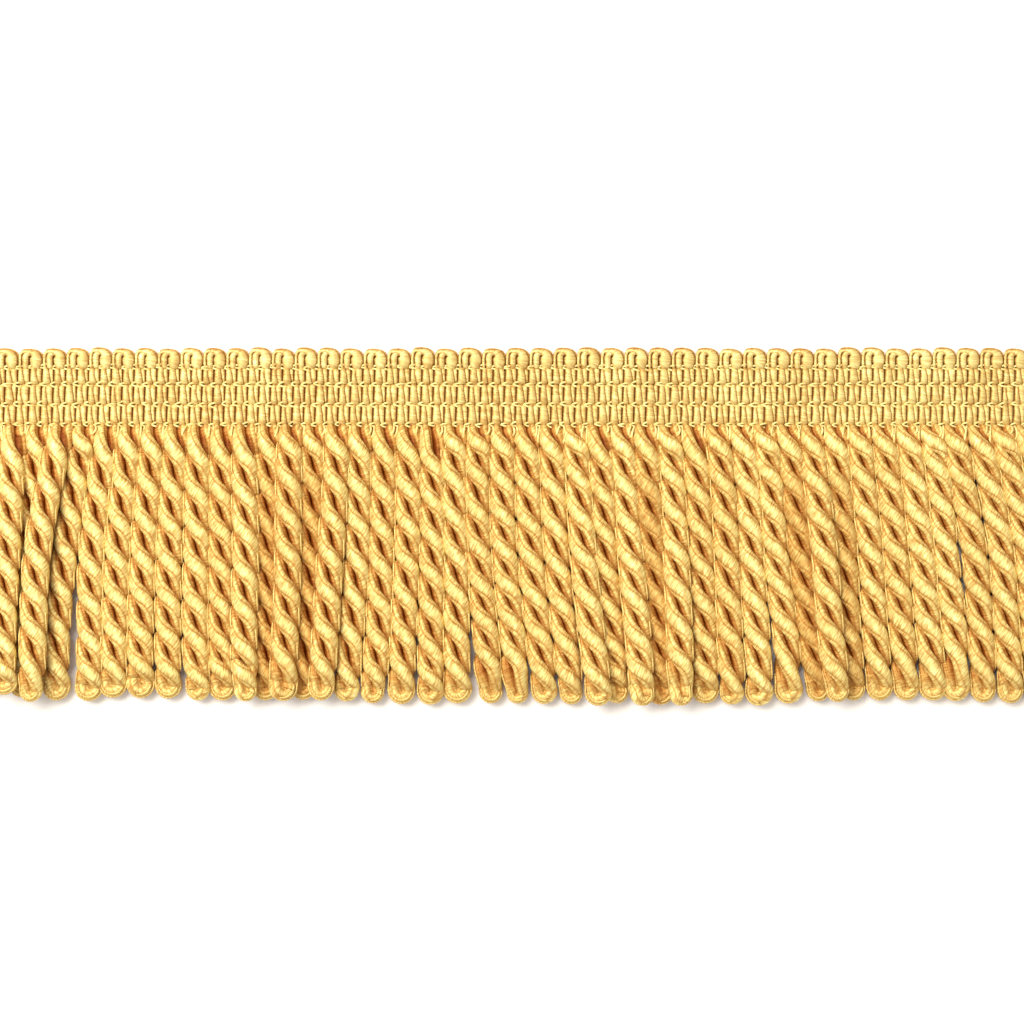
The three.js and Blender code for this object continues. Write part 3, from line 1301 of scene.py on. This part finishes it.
    def build_ground(self) -> bpy.types.Object:
        """Makes the thin woven ground that the ribs lie on.

        Returns:
            The piece.
        """
        rows, columns = self.ground_cells
        x = np.linspace(self.ground_inset, self.layout.length - self.ground_inset, columns + 1)
        notches = np.array(self.layout.roots) + self.lean
        phase = np.interp(x, notches, np.arange(len(notches)))
        rise = self.ground_top - self.ground_top_in_scallop
        top_edge = self.ground_top - rise * np.abs(np.sin(np.pi * phase)) ** self.ground_roundness
        share = np.linspace(0.0, 1.0, rows + 1)[None, :]
        grid_x = np.repeat(x[:, None], rows + 1, axis=1)
        grid_y = -self.layout.heading_depth * (1.0 - share) - top_edge[:, None] * share
        top, back = (
            np.stack([grid_x, grid_y, np.full_like(grid_x, height)], axis=-1).reshape(-1, 3)
            for height in (self.ground_height, self.ground_back)
        )
        count = grid_x.size
        index = np.arange(count).reshape(grid_x.shape)
        corners = [index[:-1, :-1], index[1:, :-1], index[1:, 1:], index[:-1, 1:]]
        upper = np.stack(corners, axis=-1).reshape(-1, 4)
        faces = upper.tolist() + (upper[:, ::-1] + count).tolist()
        rim = np.concatenate([index[:, 0], index[-1, 1:], index[-2::-1, -1], index[0, -2:0:-1]])
        after = np.roll(rim, -1)
        faces += np.stack([rim + count, after + count, after, rim], axis=-1).tolist()
        mesh = bpy.data.meshes.new("woven_ground")
        places = self.layout.to_frame(np.concatenate([top, back]))
        mesh.from_pydata(places.tolist(), [], faces)
        mesh.materials.append(GroundWeave().make())
        return put("woven_ground", mesh)

    def build(self) -> list[bpy.types.Object]:
        """Makes the heading.

        Returns:
            Its pieces.
        """
        ground = self.build_ground()
        ribs = self.build_ribs()
        chains = self.build_chains()
        threads = self.build_root_threads()
        for piece in (ground, ribs, chains, threads):
            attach(piece, "root")
            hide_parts("woven_heading")
        return [ground, ribs, chains, threads]


@dataclass(frozen=True)
class GroundWeave:
    """The ground's close plain weave, seen in the slots and at the back: its deep orange brown is painted
    shade for the slots.
    """

    name: str = "ground_weave"
    bright: Colour = (0.86, 0.44, 0.06, 1.0)
    dark: Colour = (0.70, 0.30, 0.03, 1.0)
    threads_per_metre: float = 2200.0
    unevenness: float = 0.6
    relief_mm: float = 0.08
    roughness: float = 0.6

    def make(self) -> bpy.types.Material:
        """Builds the finish."""
        plan = NodePlan(self.name)
        place = plan.add("ShaderNodeTexCoord").outputs["Object"]
        weave = []
        for direction in ("X", "Y"):
            wave = plan.add("ShaderNodeTexWave", wave_type="BANDS", bands_direction=direction)
            wave.inputs["Scale"].default_value = self.threads_per_metre / 20.0
            wave.inputs["Distortion"].default_value = self.unevenness
            plan.feed(wave.inputs["Vector"], place)
            weave.append(wave.outputs["Fac"])
        raised = plan.math("MULTIPLY", weave[0], weave[1])
        return plan.finish(
            {
                # the lower threads of the weave are darker than the raised ones: painted shade in the weave's
                # hollows
                "Base Color": plan.mix(raised, self.dark, self.bright),
                "Roughness": self.roughness,
                "Normal": plan.bump(raised, self.relief_mm),
            }
        )


def main() -> None:
    """Builds the studio and the trim, and notes the sizes for comparison."""
    logging.basicConfig(level=logging.INFO, format="%(name)s: %(message)s")
    Studio().make()
    layout = TrimLayout()
    for part in (WovenHeading(layout), CordSkirt(layout)):
        for piece in part.build():
            points, faces = len(piece.data.vertices), len(piece.data.polygons)
            log.info("%s: %d points, %d faces", piece.name, points, faces)


if __name__ == "__main__":
    main()
